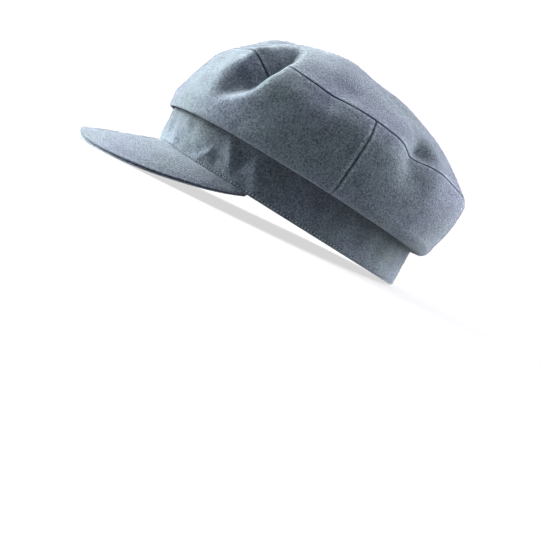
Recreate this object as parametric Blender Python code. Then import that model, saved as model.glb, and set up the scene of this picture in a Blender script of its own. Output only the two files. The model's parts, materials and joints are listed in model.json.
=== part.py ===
"""Soft felt fiddler cap: a standing band, a short curved brim, four side quarters and a top panel.

The cap is drawn in its own frame: the rim of the band is z = 0, the front is -Y and the wearer's
left is +X. An empty then sets it down as it rests, on the brim's edge and the back of the rim.
Angles round the head run from the front, 0, over the left side, 90, to the back, 180.
"""
import math
from collections import namedtuple

import bmesh
import bpy
import numpy as np

MM = 0.001

# Band: an oval of a 58 cm head, outside sizes
BAND_HALF_LENGTH = 103.0 * MM
BAND_HALF_WIDTH = 86.0 * MM
BAND_HEIGHT = 30.0 * MM
BAND_WALL = 2.6 * MM
BAND_LEAN = 2.3 * MM
BAND_EDGE = 0.7 * MM

# Brim: two layers of cloth, a row for each section along it, in degrees and millimetres. length: from
# the band to the edge along the slope. slope: how steeply it falls, in degrees.
BrimSection = namedtuple("BrimSection", "angle length slope")
BRIM_SECTIONS = (
    BrimSection(0, 52.0, 22.0),
    BrimSection(20, 51.0, 26.3),
    BrimSection(40, 38.8, 29.9),
    BrimSection(57, 19.7, 31.9),
    BrimSection(67, 0.4, 32.8),
)
BRIM_THICKNESS = 3.2 * MM
BRIM_END_THICKNESS = 1.4 * MM
BRIM_SPREAD = 0.41
BRIM_TUCK = 2.0 * MM
BRIM_END_TAPER = -3.1
BRIM_END_THINNING = 6
BRIM_EDGE_ROUND = 0.3
BRIM_EDGE_DROP = 0.25

# Crown cloth and the small gaps between sewn pieces
CLOTH = 2.0 * MM
HEM_CLOTH = 1.3 * MM
GAP = 0.3 * MM
TOP_SEAM_GAP = 0.45 * MM
HEM_TUCK = 2.0 * MM
HEM_CLEARANCE = 0.6 * MM
HEM_PART = 0.05
CORNER_PART = 0.30
SIDE_SEAM_ANGLE = math.radians(92.0)

# Mesh steps
FRONT_STEPS = 22
BACK_STEPS = 16
CORNER_ROWS = 5
WALL_ROWS = 8
TOP_ROWS = 9
BRIM_STEPS = 30
BRIM_ROWS = 7
NORMAL_STEP = 0.03

# A row for each section of the crown, in degrees and millimetres. sag: how far the lower fold hangs
# below the band's top. out and z: points up the wall, out from the band and over the rim. dome: how
# full the top is there.
Section = namedtuple("Section", "angle sag belly_out belly_z wall_out wall_z "
                                "shoulder_out shoulder_z seam_out seam_z dome")
SECTIONS = (
    Section(0, 7.0, 4.0, 37.0, -2.5, 60.0, -6.8, 73.0, -14.5, 83.0, 3.0),
    Section(22, 6.5, 6.0, 37.5, 0.0, 58.0, -4.5, 71.0, -12.0, 81.0, 2.8),
    Section(45, 5.2, 9.6, 39.0, 8.6, 56.0, 7.0, 68.0, -1.0, 80.0, 2.7),
    Section(90, 4.2, 14.0, 38.0, 16.0, 53.0, 15.5, 68.0, 9.5, 79.5, 2.4),
    Section(135, 3.6, 15.6, 38.0, 18.1, 53.0, 17.6, 67.0, 14.5, 78.0, 2.35),
    Section(180, 2.0, 8.8, 38.0, 14.0, 53.0, 15.5, 67.0, 15.8, 76.5, 2.3),
)
APEX = (0.0, 5.5, 117.8)

# The dent pinched into the front, in millimetres: a row for each point along its crest. depth: how far
# the cloth sinks on the inner side of the crest, deepest at valley from it and level again at far.
# lift: how far the crest itself stands up over its width.
Crest = namedtuple("Crest", "x y z depth valley far lift width")
FRONT_DENT = (
    Crest(60, -90, 33, 0, 8, 22, 0.0, 9),
    Crest(71, -83, 41, 7, 13, 30, 0.8, 9),
    Crest(80, -74, 50, 13, 17, 42, 1.2, 9),
    Crest(84, -67, 61, 17, 21, 50, 1.5, 9),
    Crest(82, -61, 74, 17, 18, 46, 1.5, 9),
    Crest(74, -56, 86, 14, 15, 37, 1.5, 9),
    Crest(58, -51, 97, 8, 11, 27, 1.0, 9),
    Crest(36, -46, 106, 0, 8, 14, 0.0, 9),
)

# Soft ridges, in millimetres: a row for each point along a ridge
Ridge = namedtuple("Ridge", "x y z lift width")
RIDGES = {
    "over the front dent": (
        Ridge(14, -89, 82, 0.0, 5),
        Ridge(34, -86, 83, 1.5, 5),
        Ridge(48, -80, 84, 2.0, 5),
        Ridge(51, -70, 90, 2.0, 5),
        Ridge(46, -60, 97, 1.5, 5),
        Ridge(40, -52, 103, 0.0, 5),
    ),
    "far side of the top": (
        Ridge(-5, -82, 98, 0.0, 12),
        Ridge(-5, -68, 104, 3.5, 12),
        Ridge(0, -50, 109, 0.0, 12),
    ),
    "middle of the top": (
        Ridge(48, -56, 101, 0.0, 14),
        Ridge(46, -28, 110, 2.0, 14),
        Ridge(42, 0, 114, 0.0, 14),
    ),
}

# Soft hollows, in millimetres: where, how far round it and how deep
Hollow = namedtuple("Hollow", "x y z reach depth")
HOLLOWS = (
    Hollow(14, -66, 104, 10, 3.5),
    Hollow(85, -24, 90, 13, 2.5),
    Hollow(96, -33, 76, 11, 3.0),
    Hollow(96, 44, 64, 12, 2.0),
    Hollow(94, 39, 76, 12, 8.0),
    Hollow(84, 46, 86, 10, 9.0),
    Hollow(54, 24, 106, 21, 4.5),
    Hollow(66, 62, 92, 9, 1.0),
)
FOLD_CENTRE = (0.0, 0.0, 40.0)
FOLD_STEPS = 25
FOLD_BLEND = 7.0 * MM
FOLD_SPREAD = 0.5
FOLD_ROUND = 1.3
FOLD_END = 0.15
FOLD_LIMIT = 70.0 * MM
FOLD_START = 14.0 * MM


def smooth(x):
    """Ease from 0 to 1."""
    x = np.clip(x, 0.0, 1.0)
    return x * x * (3.0 - 2.0 * x)


def unit(vector):
    return vector / np.linalg.norm(vector, axis=-1, keepdims=True)


def ring(angle, out=0.0, shift=0.0):
    """Point of the band's oval, moved out along its normal and shifted to the front."""
    normal_x = BAND_HALF_LENGTH * np.sin(angle)
    normal_y = -BAND_HALF_WIDTH * np.cos(angle)
    size = np.hypot(normal_x, normal_y)
    x = BAND_HALF_WIDTH * np.sin(angle) + out * normal_x / size
    y = -BAND_HALF_LENGTH * np.cos(angle) + out * normal_y / size - shift
    return x, y


def between(rows, name, place, last_slope=0.0):
    """A column of a table of sections, read smoothly at any angle in degrees."""
    keys = np.array([row.angle for row in rows], dtype=float)
    values = np.array([getattr(row, name) for row in rows])
    slopes = np.zeros_like(values)
    slopes[1:-1] = (values[2:] - values[:-2]) / (keys[2:] - keys[:-2])
    slopes[-1] = last_slope
    i = np.clip(np.searchsorted(keys, place, side="right") - 1, 0, len(keys) - 2)
    span = keys[i + 1] - keys[i]
    u = (place - keys[i]) / span
    rise = (1 + 2 * u) * (1 - u) ** 2 * values[i] + u * u * (3 - 2 * u) * values[i + 1]
    lean = u * (1 - u) ** 2 * slopes[i] + u * u * (u - 1) * slopes[i + 1]
    return rise + lean * span


def section_value(name, angle):
    """A column of the crown's sections round the head, the same on both sides."""
    return between(SECTIONS, name, np.abs((np.degrees(angle) + 180.0) % 360.0 - 180.0))


def through(points, u):
    """Smooth curve through evenly timed points, u from 0 to 1."""
    before = 2 * points[0] - points[1]
    after = 2 * points[-1] - points[-2]
    spans = len(points) - 1
    table = np.stack([before] + list(points) + [after])
    place = np.clip(u, 0.0, 1.0) * spans
    i = np.minimum(place.astype(int), spans - 1)
    f = place - i
    rest = tuple(np.indices(i.shape))
    p0, p1, p2, p3 = (table[(i + k,) + rest] for k in range(4))
    straight = 2 * p1 + (p2 - p0) * f
    bend = (2 * p0 - 5 * p1 + 4 * p2 - p3) * f ** 2
    twist = (3 * p1 - p0 - 3 * p2 + p3) * f ** 3
    return 0.5 * (straight + bend + twist)


def crown_plain(angle, v):
    """The crown before its folds: v runs 0 to 1 up a side quarter, then 1 to 2 over the top."""
    angle, v = np.broadcast_arrays(np.asarray(angle, dtype=float), np.asarray(v, dtype=float))
    up = np.clip(v, 0.0, 1.0)
    columns = {name: section_value(name, angle) * MM for name in Section._fields[1:-1]}

    # Hem over the band's top edge, then the lower corner: out, sagging, and round to the vertical
    turn = np.clip((up - HEM_PART) / (CORNER_PART - HEM_PART), 0.0, 1.0) * math.pi / 2
    hem_z = BAND_HEIGHT + GAP
    out = HEM_CLEARANCE + (columns["belly_out"] - HEM_CLEARANCE) * np.sin(turn)
    out = out - (HEM_CLEARANCE + HEM_TUCK) * (1 - np.clip(up / HEM_PART, 0.0, 1.0))
    z = hem_z + (columns["belly_z"] - hem_z) * (1 - np.cos(turn)) - columns["sag"] * np.sin(2 * turn)

    # Wall, shoulder and top seam
    names = ("belly", "wall", "shoulder", "seam")
    u = np.clip((up - CORNER_PART) / (1 - CORNER_PART), 0.0, 1.0)
    above = up > CORNER_PART
    out = np.where(above, through([columns[name + "_out"] for name in names], u), out)
    z = np.where(above, through([columns[name + "_z"] for name in names], u), z)
    x, y = ring(angle, out, BAND_LEAN)

    # Top panel: from its seam in to the apex
    r = 1.0 - np.clip(v - 1.0, 0.0, 1.0)
    apex_x, apex_y, apex_z = (value * MM for value in APEX)
    x = apex_x + (x - apex_x) * r
    y = apex_y + (y - apex_y) * r
    z = z + (apex_z - z) * (1 - r ** section_value("dome", angle))
    return np.stack([x, y, z], axis=-1)


def beside_fold(points, rows):
    """Where points lie beside a fold's crest: how far to its side, how much the fold still does there,
    which way is out and the fold's other columns."""
    steps = np.linspace(0.0, 1.0, FOLD_STEPS)
    columns = [np.broadcast_to(np.array(row) * MM, (FOLD_STEPS, len(row))) for row in rows]
    table = through(columns, np.broadcast_to(steps[:, None], (FOLD_STEPS, len(rows[0]))))
    crest = table[:, :3]
    along = np.gradient(crest, axis=0) * (FOLD_STEPS - 1)
    length = np.linalg.norm(along, axis=1)
    along = unit(along)
    facing = crest - np.array(FOLD_CENTRE) * MM
    facing = unit(facing - (facing * along).sum(axis=1, keepdims=True) * along)
    across = np.cross(facing, along)

    # Weights for the nearest stretch of the crest, spread wider further from it
    away = points[..., None, :] - crest
    square = (away ** 2).sum(axis=-1)
    nearest = square.min(axis=-1, keepdims=True)
    weight = np.exp((nearest - square) / (FOLD_BLEND ** 2 + FOLD_SPREAD * nearest))
    weight = weight / weight.sum(axis=-1, keepdims=True)
    side = (weight * (away * across).sum(axis=-1)).sum(axis=-1)
    place = (weight * (steps + (away * along).sum(axis=-1) / length)).sum(axis=-1)
    fade = smooth(place / FOLD_END) * smooth((1 - place) / FOLD_END)
    fade = fade * smooth((FOLD_LIMIT - np.sqrt(nearest[..., 0])) / (FOLD_LIMIT / 2))
    return side, fade, unit(weight @ facing), np.moveaxis(weight @ table[:, 3:], -1, 0)


def folded(points):
    """The points pushed in and out by every fold, except at the hem."""
    above_hem = smooth((points[..., 2] - BAND_HEIGHT) / FOLD_START)
    side, fade, outward, (depth, valley, far, lift, width) = beside_fold(points, FRONT_DENT)
    sink = smooth(side / valley) ** FOLD_ROUND * (1 - smooth((side - valley) / (far - valley)))
    push = above_hem * fade * (lift * np.exp(-(side / width) ** 2) - depth * sink)
    moved = points + push[..., None] * outward
    for rows in RIDGES.values():
        side, fade, outward, (lift, width) = beside_fold(points, rows)
        push = above_hem * fade * lift * np.exp(-(side / width) ** 2)
        moved = moved + push[..., None] * outward
    for hollow in HOLLOWS:
        away = points - np.array(hollow[:3]) * MM
        near = np.exp(-(away ** 2).sum(axis=-1) / (hollow.reach * MM) ** 2)
        inward = unit(np.array(FOLD_CENTRE) * MM - points)
        moved = moved + (above_hem * near * hollow.depth * MM)[..., None] * inward
    return moved


def crown(angle, v):
    """Outer face of the crown."""
    return folded(crown_plain(angle, v))


def crown_normal(angle, v):
    """Outward normal of the crown, rounded a little over its bends."""
    step = NORMAL_STEP
    v = np.minimum(v, 2.0 - 2 * step)
    up = crown(angle, v + step) - crown(angle, np.maximum(v - step, 0.0))
    round_ = crown(angle + step, v) - crown(angle - step, v)
    return unit(np.cross(round_, up))


def crown_loops(angles, rows):
    """A closed loop of points at each angle: up the outer face and back down the inner one."""
    angle, v = np.meshgrid(angles, rows, indexing="ij")
    outer = crown(angle, v)
    normal = crown_normal(angle, v)

    # Both sides of the top seam stand back from it by half the gap
    seam = list(rows).index(1.0)
    below = unit(np.cross(np.gradient(outer[:, seam], axis=0), normal[:, seam]))
    outer[:, seam] += below * (TOP_SEAM_GAP / 2 if seam else -TOP_SEAM_GAP / 2)

    wall = HEM_CLOTH + (CLOTH - HEM_CLOTH) * smooth(v / CORNER_PART - 0.5)
    inner = outer - wall[..., None] * normal
    if rows[-1] == 2.0:
        inner[:, -1] = inner[:, -1].mean(axis=0)
    return np.concatenate([outer, inner[:, ::-1]], axis=1)


def colour_material(name, colour, roughness):
    material = bpy.data.materials.new(name)
    material.use_nodes = True
    shader = material.node_tree.nodes["Principled BSDF"]
    shader.inputs["Base Color"].default_value = (*colour, 1.0)
    shader.inputs["Roughness"].default_value = roughness
    shader.inputs["Metallic"].default_value = 0.0
    return material


def loft(name, loops, closed, material, pose):
    """One closed body through loops of points, joined end to end where closed, capped if not.

    The first half of a loop is its outer face and the second half is the inner face, back again.
    """
    bm = bmesh.new()
    rings = [[bm.verts.new(point) for point in loop] for loop in loops]
    count = len(rings[0])
    pairs = list(zip(rings, rings[1:]))
    if closed:
        pairs.append((rings[-1], rings[0]))
    for this, following in pairs:
        for i in range(count):
            j = (i + 1) % count
            bm.faces.new((this[i], this[j], following[j], following[i]))
    if not closed:
        for loop in (rings[0], rings[-1]):
            for i in range(count // 2 - 1):
                bm.faces.new((loop[i], loop[i + 1], loop[count - 2 - i], loop[count - 1 - i]))
    bmesh.ops.remove_doubles(bm, verts=bm.verts, dist=0.001 * MM)
    bmesh.ops.recalc_face_normals(bm, faces=bm.faces)
    mesh = bpy.data.meshes.new(name)
    bm.to_mesh(mesh)
    bm.free()
    mesh.shade_smooth()
    mesh.set_sharp_from_angle(angle=math.radians(40.0))
    mesh.materials.append(material)
    piece = bpy.data.objects.new(name, mesh)
    piece.parent = pose
    bpy.context.scene.collection.objects.link(piece)
    return piece


def band_loops(angles):
    """Section of the band all the way round: a standing wall with softened edges."""
    height, wall, edge = BAND_HEIGHT, BAND_WALL, BAND_EDGE
    outline = (
        (-edge, 0.0), (0.0, edge), (0.0, height - edge), (-edge, height),
        (edge - wall, height), (-wall, height - edge), (-wall, edge), (edge - wall, 0.0),
    )
    loops = []
    for angle in angles:
        loop = []
        for out, z in outline:
            x, y = ring(angle, out, BAND_LEAN * z / height)
            loop.append((x, y, z))
        loops.append(loop)
    return loops


def brim_loops():
    """Sections of the brim from one end to the other, each across its width and round its edge."""
    across = np.linspace(0.0, 1.0, BRIM_ROWS)
    end = BRIM_SECTIONS[-1].angle
    loops = []
    for turn in end * np.sin(np.linspace(-1.0, 1.0, BRIM_STEPS + 1) * math.pi / 2):
        angle = math.radians(turn)
        length = between(BRIM_SECTIONS, "length", abs(turn), BRIM_END_TAPER) * MM
        slope = math.radians(between(BRIM_SECTIONS, "slope", abs(turn)))
        thick = BRIM_THICKNESS + (BRIM_END_THICKNESS - BRIM_THICKNESS) * abs(turn / end) ** BRIM_END_THINNING
        normal = unit(np.array([math.sin(angle) / BAND_HALF_WIDTH, -math.cos(angle) / BAND_HALF_LENGTH]))
        forward = unit(BRIM_SPREAD * normal + (1 - BRIM_SPREAD) * np.array([0.0, -1.0]))
        x, y = ring(angle)
        root = np.array([x, y, -GAP])
        out = np.array([*(forward * math.cos(slope)), -math.sin(slope)])
        tuck = np.array([*(-normal * BRIM_TUCK), 0.0])
        down = np.array([0.0, 0.0, -thick])
        top = [root + tuck] + [root + out * length * v for v in across]
        round_edge = out * thick * BRIM_EDGE_ROUND
        low = [point + down for point in top]
        top.append(top[-1] + round_edge + down * BRIM_EDGE_DROP)
        low.append(low[-1] + round_edge - down * BRIM_EDGE_DROP)
        loops.append(top + low[::-1])
    return loops


def side_quarters():
    """Name, first and last angle and steps of each side quarter, between seams at front, sides and back."""
    seams = (0.0, SIDE_SEAM_ANGLE, math.pi, 2 * math.pi - SIDE_SEAM_ANGLE, 2 * math.pi)
    return (
        ("quarter_front_left", seams[0], seams[1], FRONT_STEPS),
        ("quarter_back_left", seams[1], seams[2], BACK_STEPS),
        ("quarter_back_right", seams[2], seams[3], BACK_STEPS),
        ("quarter_front_right", seams[3], seams[4], FRONT_STEPS),
    )


def quarter_rows():
    corner = np.linspace(HEM_PART, CORNER_PART, CORNER_ROWS)
    wall = np.linspace(CORNER_PART, 1.0, WALL_ROWS + 1)[1:]
    return np.concatenate([[0.0], corner, wall])


def set_down(pose, pieces):
    """Lean the cap back until its brim and the back of its rim touch the floor, box over the origin."""
    brim_points = np.array([vertex.co for vertex in pieces["brim"].data.vertices])
    reach = BAND_HALF_LENGTH - BAND_EDGE - brim_points[:, 1]
    tilt = np.arctan2(-brim_points[:, 2], reach).max()
    pose.rotation_euler = (-tilt, 0.0, 0.0)
    bpy.context.view_layer.update()
    points = [piece.matrix_world @ vertex.co for piece in pieces.values() for vertex in piece.data.vertices]
    low, high = np.min(points, axis=0), np.max(points, axis=0)
    pose.location = (-(low[0] + high[0]) / 2, -(low[1] + high[1]) / 2, -low[2])
    bpy.context.view_layer.update()


def build():
    for old in list(bpy.data.objects):
        bpy.data.objects.remove(old, do_unlink=True)

    felt = colour_material("felt", (0.16, 0.20, 0.24), 0.9)
    brim_felt = colour_material("brim felt", (0.17, 0.21, 0.25), 0.9)
    band_felt = colour_material("band felt", (0.15, 0.19, 0.23), 0.9)
    top_felt = colour_material("top felt", (0.17, 0.20, 0.25), 0.9)

    pose = bpy.data.objects.new("resting_pose", None)
    bpy.context.scene.collection.objects.link(pose)

    all_round = np.concatenate([
        np.linspace(first, last, steps, endpoint=False) for name, first, last, steps in side_quarters()
    ])
    top_rows = np.linspace(1.0, 2.0, TOP_ROWS + 1)
    pieces = {
        "band": loft("band", band_loops(all_round), True, band_felt, pose),
        "brim": loft("brim", brim_loops(), False, brim_felt, pose),
        "crown_top": loft("crown_top", crown_loops(all_round, top_rows), True, top_felt, pose),
    }
    half_seam = GAP / 2 / BAND_HALF_WIDTH
    for name, first, last, steps in side_quarters():
        angles = np.linspace(first + half_seam, last - half_seam, steps + 1)
        pieces[name] = loft(name, crown_loops(angles, quarter_rows()), False, felt, pose)

    set_down(pose, pieces)


build()
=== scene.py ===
"""Looks of the grey-blue felt cap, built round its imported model.

The cap is drawn in its own frame, as its solids are: the rim of the band is z = 0, the front is -Y and
the wearer's left is +X. Angles round the head run from the front, 0, over the left side, 90, to the
back, 180. The frame's head opening says how the cap rests.
"""
import json
import math
from collections import namedtuple

import bmesh
import bpy
import numpy as np
from mathutils import Matrix, Vector


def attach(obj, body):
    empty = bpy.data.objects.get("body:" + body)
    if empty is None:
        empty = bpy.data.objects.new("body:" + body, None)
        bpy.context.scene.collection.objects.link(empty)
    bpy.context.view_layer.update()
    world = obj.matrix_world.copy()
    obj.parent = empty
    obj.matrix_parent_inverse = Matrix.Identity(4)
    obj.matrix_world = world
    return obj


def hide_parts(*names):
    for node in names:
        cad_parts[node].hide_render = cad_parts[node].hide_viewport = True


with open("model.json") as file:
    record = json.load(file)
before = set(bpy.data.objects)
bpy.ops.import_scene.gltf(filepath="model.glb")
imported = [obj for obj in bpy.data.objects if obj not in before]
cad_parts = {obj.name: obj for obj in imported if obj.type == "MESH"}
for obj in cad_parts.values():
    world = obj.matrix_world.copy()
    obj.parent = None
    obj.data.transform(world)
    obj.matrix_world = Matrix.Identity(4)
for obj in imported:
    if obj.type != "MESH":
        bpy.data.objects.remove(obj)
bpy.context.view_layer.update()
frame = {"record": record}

MM = 0.001

# Band: an oval of a 58 cm head, outside sizes. lean: how far its top edge stands forward of its lower one.
BAND_HALF_LENGTH = 103.0 * MM
BAND_HALF_WIDTH = 86.0 * MM
BAND_HEIGHT = 30.0 * MM
BAND_WALL = 2.6 * MM
BAND_LEAN = 2.3 * MM

# Brim: a row for each section along it, in degrees and millimetres. length: from the band to the edge
# along the slope. slope: how steeply it falls, in degrees.
BrimSection = namedtuple("BrimSection", "angle length slope")
BRIM_SECTIONS = (
    BrimSection(0, 52.0, 22.0),
    BrimSection(20, 51.0, 26.3),
    BrimSection(40, 38.8, 29.9),
    BrimSection(57, 19.7, 31.9),
    BrimSection(67, 0.4, 32.8),
)

# spread: which way the brim runs out, from straight ahead, 0, to square off the band, 1. tuck and root: how
# far its root goes in under the band, and up into the band's rounded edge. end_taper: how its length falls
# at its ends, in millimetres a degree. end_thinning: how late it thins, as a power.
BRIM_THICKNESS = 2.8 * MM
BRIM_END_THICKNESS = 1.4 * MM
BRIM_SPREAD = 0.41
BRIM_TUCK = 2.0 * MM
BRIM_ROOT = 0.35 * MM
BRIM_END_TAPER = -3.1
BRIM_END_THINNING = 6

# Crown cloth. tuck: how far the hem turns in over the band's top. clearance: how far it stands off the
# band. parts: the shares of a side panel's rows that are its hem, and its hem and lower corner.
CLOTH = 2.0 * MM
HEM_CLOTH = 1.3 * MM
GAP = 0.3 * MM
HEM_TUCK = 2.0 * MM
HEM_CLEARANCE = 0.6 * MM
HEM_PART = 0.05
CORNER_PART = 0.30
SIDE_SEAM_ANGLE = math.radians(92.0)

# A row for each section of the crown, in degrees and millimetres. sag: how far the lower fold hangs
# below the band's top. out and z: points up the wall, out from the band and over the rim. dome: how
# full the top is there.
Section = namedtuple("Section", "angle sag belly_out belly_z wall_out wall_z "
                                "shoulder_out shoulder_z seam_out seam_z dome")
SECTIONS = (
    Section(0, 7.0, 4.0, 37.0, -2.5, 60.0, -6.8, 73.0, -14.5, 83.0, 3.0),
    Section(22, 6.5, 6.0, 37.5, 0.0, 58.0, -4.5, 71.0, -12.0, 81.0, 2.8),
    Section(45, 5.2, 9.6, 39.0, 8.6, 56.0, 7.0, 68.0, -1.0, 80.0, 2.7),
    Section(90, 4.2, 14.0, 38.0, 16.0, 53.0, 15.5, 68.0, 9.5, 79.5, 2.4),
    Section(135, 3.6, 15.6, 38.0, 18.1, 53.0, 17.6, 67.0, 14.5, 78.0, 2.35),
    Section(180, 2.0, 8.8, 38.0, 14.0, 53.0, 15.5, 67.0, 15.8, 76.5, 2.3),
)
APEX = (0.0, 5.5, 117.8)

# The dent pinched into the front, in millimetres: a row for each point along its crest. depth: how far
# the cloth sinks on the inner side of the crest, deepest at valley from it and level again at far.
# lift: how far the crest itself stands up over its width.
Crest = namedtuple("Crest", "x y z depth valley far lift width")
FRONT_DENT = (
    Crest(60, -90, 33, 0, 8, 22, 0.0, 9),
    Crest(71, -83, 41, 7, 13, 30, 0.8, 9),
    Crest(80, -74, 50, 13, 17, 42, 1.2, 9),
    Crest(84, -67, 61, 17, 21, 50, 1.5, 9),
    Crest(82, -61, 74, 17, 18, 46, 1.5, 9),
    Crest(74, -56, 86, 14, 15, 37, 1.5, 9),
    Crest(58, -51, 97, 8, 11, 27, 1.0, 9),
    Crest(36, -46, 106, 0, 8, 14, 0.0, 9),
)

# Soft ridges, in millimetres: a row for each point along a ridge
Ridge = namedtuple("Ridge", "x y z lift width")
RIDGES = {
    "over the front dent": (
        Ridge(14, -89, 82, 0.0, 5),
        Ridge(34, -86, 83, 1.5, 5),
        Ridge(48, -80, 84, 2.0, 5),
        Ridge(51, -70, 90, 2.0, 5),
        Ridge(46, -60, 97, 1.5, 5),
        Ridge(40, -52, 103, 0.0, 5),
    ),
    "far side of the top": (
        Ridge(-5, -82, 98, 0.0, 12),
        Ridge(-5, -68, 104, 3.5, 12),
        Ridge(0, -50, 109, 0.0, 12),
    ),
    "middle of the top": (
        Ridge(48, -56, 101, 0.0, 14),
        Ridge(46, -28, 110, 2.0, 14),
        Ridge(42, 0, 114, 0.0, 14),
    ),
}

# Soft hollows, in millimetres: where, how far round it and how deep
Hollow = namedtuple("Hollow", "x y z reach depth")
HOLLOWS = (
    Hollow(14, -66, 104, 10, 3.5),
    Hollow(85, -24, 90, 13, 2.5),
    Hollow(96, -33, 76, 11, 3.0),
    Hollow(96, 44, 64, 12, 2.0),
    Hollow(94, 39, 76, 12, 8.0),
    Hollow(84, 46, 86, 10, 9.0),
    Hollow(54, 24, 106, 21, 4.5),
    Hollow(66, 62, 92, 9, 1.0),
)

# How folds act. centre: what hollows push toward, in millimetres. steps: points along a crest. blend and
# spread: how widely a crest's stretches blend, beside it and further away. round: how slowly a dent's slope
# sets in. end: the share of a crest's length over which it fades. limit: how far from its crest a fold
# still acts. start: how far over the band it is at its full strength.
FOLD_CENTRE = (0.0, 0.0, 40.0)
FOLD_STEPS = 25
FOLD_BLEND = 7.0 * MM
FOLD_SPREAD = 0.5
FOLD_ROUND = 1.3
FOLD_END = 0.15
FOLD_LIMIT = 70.0 * MM
FOLD_START = 14.0 * MM

# Seams as sewn: the cloth rolls in over a radius, and its turned edge lifts a strip beside the seam. Its
# tone holds painted shade in the crease and a painted highlight on the lip, and pale specks along the turned
# edge.
SEAM_ROLL = 1.3 * MM
SEAM_LIFT = 0.2 * MM
SEAM_STRIP = 7.0 * MM
SEAM_STRIP_EDGE = 4.0 * MM
SEAM_SLIT = 0.3 * MM
SEAM_CREASE = 0.55 * MM
SEAM_LIP = 1.6 * MM
SEAM_LIP_WIDTH = 0.7 * MM
SEAM_PAINTED_SHADE = 0.85
SEAM_PAINTED_HIGHLIGHT = 0.35
SEAM_SPECKS = 2.1 * MM
SEAM_SPECKS_WIDTH = 0.6 * MM
SEAM_SPECKS_LIGHTER = 1.5
SEAM_SPECKS_SEED = 4

# Mesh steps and the lengths they divide, in millimetres along the cloth, and counts of rows. The band has
# more rows beside its stitches. The steps for judging the cloth's outward direction are in radians and in
# shares of a panel.
FINE_STEPS = (0.0, 0.15, 0.4, 0.75, 1.1, 1.5, 2.1, 3.0, 4.0, 5.0, 6.0, 7.0)
DENT_STEP = 0.9
PLAIN_STEP = 1.6
QUARTER_LENGTH = 165.0
WALL_LENGTH = 58.0
TOP_LENGTH = 110.0
CORNER_ROWS = 16
NORMAL_STEP = 0.012
INNER_NORMAL_STEP = 0.06
BAND_STEP = 0.8
BAND_ROWS = 24
BAND_INNER_ROWS = 8
BAND_ROUND_ROWS = 9
BAND_STITCH_ROWS = (-0.8, -0.4, 0.0, 0.4, 0.8)
BRIM_STEPS = 220
BRIM_ROWS = 34

# Points nearer than this are made one, and this is added to directions that may have no length
MERGE_DISTANCE = 0.001 * MM
TINY = 1e-15

# Unevenness of the cloth. clear: how far under its top edge the band is at its full unevenness.
BROAD_WAVE = 0.3 * MM
BROAD_WAVE_SIZE = 45.0 * MM
BROAD_WAVE_SEED = 1
FINE_WAVE = 0.02 * MM
FINE_WAVE_SIZE = 6.0 * MM
FINE_WAVE_SEED = 2
BAND_WAVE = 0.15 * MM
BAND_WAVE_SIZE = 14.0 * MM
BAND_WAVE_SEED = 3
BAND_CLEAR = 4.0 * MM
WAVE_COUNT = 24
WAVE_STRETCH = (0.7, 1.4)

# Soft puckers of the band beside the brim, the same on both sides: at an angle in degrees and a height in
# millimetres, how wide and high they are, how far they lean back for each millimetre of climb, and how far
# they stand out, or in where negative
Pucker = namedtuple("Pucker", "angle z width height lean push")
PUCKERS = (
    Pucker(16, 16, 7, 12, -0.3, -0.5),
    Pucker(26, 12, 6, 14, 0.3, 0.6),
    Pucker(33, 17, 5, 10, -0.5, -0.6),
    Pucker(39, 9, 5, 8, -0.6, 0.6),
    Pucker(43, 20, 5, 9, 0.5, 0.5),
    Pucker(45, 9, 3, 7, 0.6, 0.7),
    Pucker(50, 8, 4, 4, 0.0, -1.2),
    Pucker(55, 15, 4, 12, -0.5, 0.8),
    Pucker(60, 16, 5, 14, 0.25, -1.2),
    Pucker(67, 12, 4, 12, -0.4, 0.8),
    Pucker(75, 14, 6, 12, 0.3, -0.6),
)

# The band's cloth is painted lighter toward its lower edge, as painted light from below, and darker under the
# crown, as painted shade under its overhang
BAND_PAINTED_LIGHT_LOW = 1.45
BAND_PAINTED_SHADE_HIGH = 0.75

# Stitches along the band's lower edge: thread that goes into holes in the cloth between them, with painted
# shade in the holes
STITCH_HEIGHT = 1.9 * MM
STITCH_DIP = 0.15 * MM
STITCH_DIP_WIDTH = 0.6 * MM
STITCH_PITCH = 2.3 * MM
STITCH_LENGTH = 1.6 * MM
STITCH_THICKNESS = 0.7 * MM
STITCH_HOLE = 0.5 * MM
STITCH_HOLE_PAINTED_SHADE = 0.85
STITCH_RUN_STEPS = 4000
STITCH_RINGS = 7
STITCH_SIDES = 8

# Nap: short fibres that stand off the cloth at angles in degrees, facing all ways, as many a square
# centimetre. spread: shares of the length. tone: how light against the cloth. The rows of a panel next to
# its hem, and those of the band next to its lower edge, are bare.
NAP_LENGTH = 1.0 * MM
NAP_LENGTH_SPREAD = (0.5, 1.4)
NAP_THICKNESS = 0.09 * MM
NAP_LEAN = (15.0, 60.0)
NAP_DENSITY = 110
NAP_TONE = (0.9, 1.9)
QUARTER_BARE_ROWS = 4
BAND_BARE_ROWS = 2
SQUARE_CM_IN_SQUARE_M = 1e4

# Section of the brim's edge, a row for each point of it: how far out past the edge and down from the
# top, in shares of its thickness, and how light the cloth is there: painted shade in the groove between the
# layers and painted light on the lower layer's edge
EdgePoint = namedtuple("EdgePoint", "push drop tone")
BRIM_EDGE = (
    EdgePoint(0.14, 0.03, 1.0),
    EdgePoint(0.24, 0.12, 0.9),
    EdgePoint(0.28, 0.25, 0.7),
    EdgePoint(0.24, 0.38, 0.4),
    EdgePoint(0.12, 0.46, 0.15),
    EdgePoint(0.12, 0.54, 0.3),
    EdgePoint(0.22, 0.62, 1.8),
    EdgePoint(0.24, 0.75, 2.3),
    EdgePoint(0.18, 0.88, 2.0),
    EdgePoint(0.08, 0.97, 1.3),
)

# How far the brim's outer part droops, from a share of its length on
BRIM_DROOP = 1.0 * MM
BRIM_DROOP_FROM = 0.7

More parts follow.
